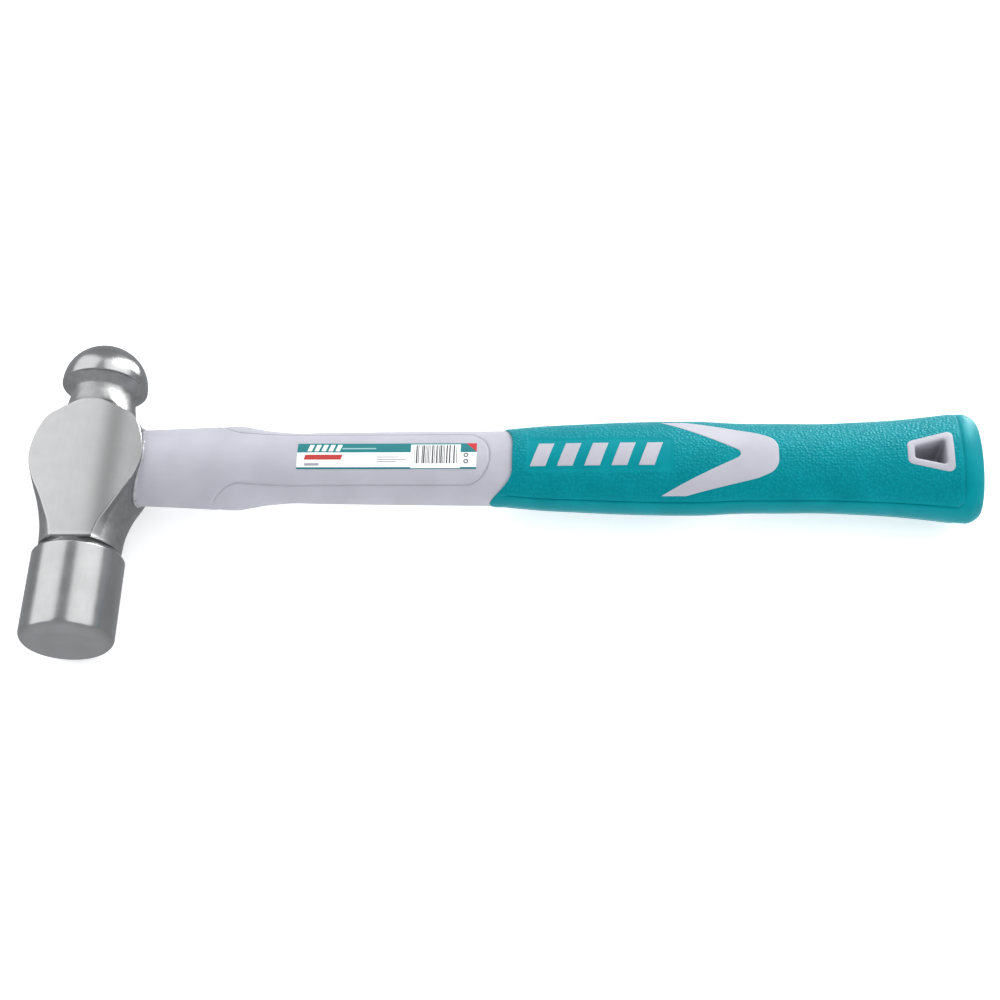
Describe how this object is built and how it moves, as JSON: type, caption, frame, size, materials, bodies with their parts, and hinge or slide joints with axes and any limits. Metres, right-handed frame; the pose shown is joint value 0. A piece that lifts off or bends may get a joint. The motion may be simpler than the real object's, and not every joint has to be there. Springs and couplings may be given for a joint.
{
  "type": "ball peen hammer",
  "caption": "Ball peen hammer: forged steel head with round striking face and ball, potted on a fibreglass-cored grey plastic handle with a teal rubber grip and a hanging hole.",
  "frame": {"origin": "under the middle of the whole hammer, on the surface that it lies on", "axes": "+X down the handle from the head to the butt, +Y along the head towards the ball, +Z square to the flat cheek, upwards as the hammer lies on its cheek side"},
  "size_m": [0.3906, 0.1388, 0.038],
  "materials": {
    "forged_steel": "satin ground and polished carbon steel",
    "cast_resin": "clear grey epoxy, cast in place",
    "glass_fibre": "pultruded fibreglass rod",
    "grey_plastic": "injection-moulded polypropylene, fine satin",
    "teal_rubber": "overmoulded soft rubber, pebbled on its sides and smooth along its spines",
    "label_film": "printed film with plain blocks and bars"
  },
  "bodies": {
    "root": {"head": "forged_steel", "eye_resin": "cast_resin", "fibreglass_core": "glass_fibre", "handle_jacket": "grey_plastic", "rubber_grip": "teal_rubber", "paper_label": "label_film"}
  },
  "joints": []
}
